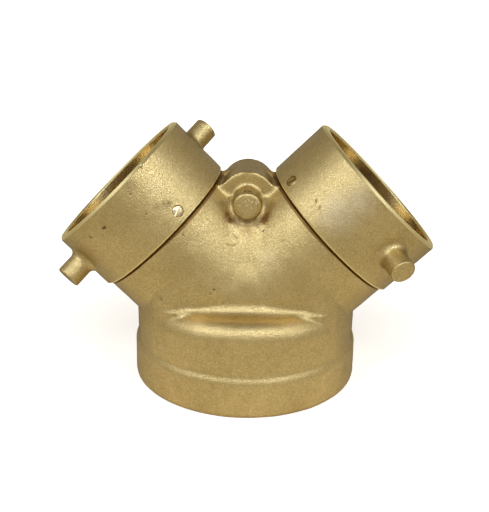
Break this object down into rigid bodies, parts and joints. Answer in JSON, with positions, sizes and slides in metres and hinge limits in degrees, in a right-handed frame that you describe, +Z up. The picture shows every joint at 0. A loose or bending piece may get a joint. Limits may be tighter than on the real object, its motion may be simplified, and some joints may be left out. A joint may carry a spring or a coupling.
{
  "type": "fire department connection",
  "caption": "Cast brass fire department inlet body: threaded outlet below, two angled branches with free-turning hose swivels and pin lugs, and one swing clapper inside.",
  "frame": {"origin": "centre of the outlet's bottom face, where the pipe thread starts", "axes": "+Z up from the outlet through the crotch, -Y to the front, where the pin boss stands out, +X to the right-hand inlet"},
  "size_m": [0.2156, 0.133, 0.1478],
  "materials": {
    "cast_brass": "bead-blasted sand casting",
    "swivel_brass": "bead-blasted sand casting with turned rims",
    "clapper_brass": "cast, faced",
    "plug_brass": "turned",
    "stainless_steel": "satin",
    "black_rubber": "matt"
  },
  "bodies": {
    "fixed_body": {"body": "cast_brass", "hinge_pin": "stainless_steel", "hinge_plug": "plug_brass", "hinge_plug_seal": "black_rubber"},
    "left_swivel_assembly": {"left_swivel": "swivel_brass", "left_ball_plug": "plug_brass", "left_gasket": "black_rubber"},
    "right_swivel_assembly": {"right_swivel": "swivel_brass", "right_ball_plug": "plug_brass", "right_gasket": "black_rubber"},
    "left_ball_ring": {"left_balls": "stainless_steel"},
    "right_ball_ring": {"right_balls": "stainless_steel"},
    "clapper_assembly": {"clapper": "clapper_brass", "left_facing": "black_rubber", "right_facing": "black_rubber", "left_retainer": "clapper_brass", "right_retainer": "clapper_brass", "clapper_bolt": "stainless_steel", "lock_washer": "stainless_steel", "clapper_nut": "stainless_steel"}
  },
  "joints": [
    {"name": "left_swivel_turn", "type": "hinge", "parent": "fixed_body", "child": "left_swivel_assembly", "pos_m": [-0.04804, 0, 0.08804], "axis": [-0.7071, 0, 0.7071], "continuous": true},
    {"name": "right_swivel_turn", "type": "hinge", "parent": "fixed_body", "child": "right_swivel_assembly", "pos_m": [0.04804, 0, 0.08804], "axis": [0.7071, 0, 0.7071], "continuous": true},
    {"name": "left_balls_roll", "type": "hinge", "parent": "fixed_body", "child": "left_ball_ring", "pos_m": [-0.04804, 0, 0.08804], "axis": [-0.7071, 0, 0.7071], "continuous": true},
    {"name": "right_balls_roll", "type": "hinge", "parent": "fixed_body", "child": "right_ball_ring", "pos_m": [0.04804, 0, 0.08804], "axis": [0.7071, 0, 0.7071], "continuous": true},
    {"name": "clapper_swing", "type": "hinge", "parent": "fixed_body", "child": "clapper_assembly", "pos_m": [0, 0, 0.1095], "axis": [0, 1, 0], "range_deg": [-45, 45]}
  ],
  "couplings": [
    {"joint": "left_balls_roll", "follows": "left_swivel_turn", "ratio": 0.5},
    {"joint": "right_balls_roll", "follows": "right_swivel_turn", "ratio": 0.5}
  ]
}
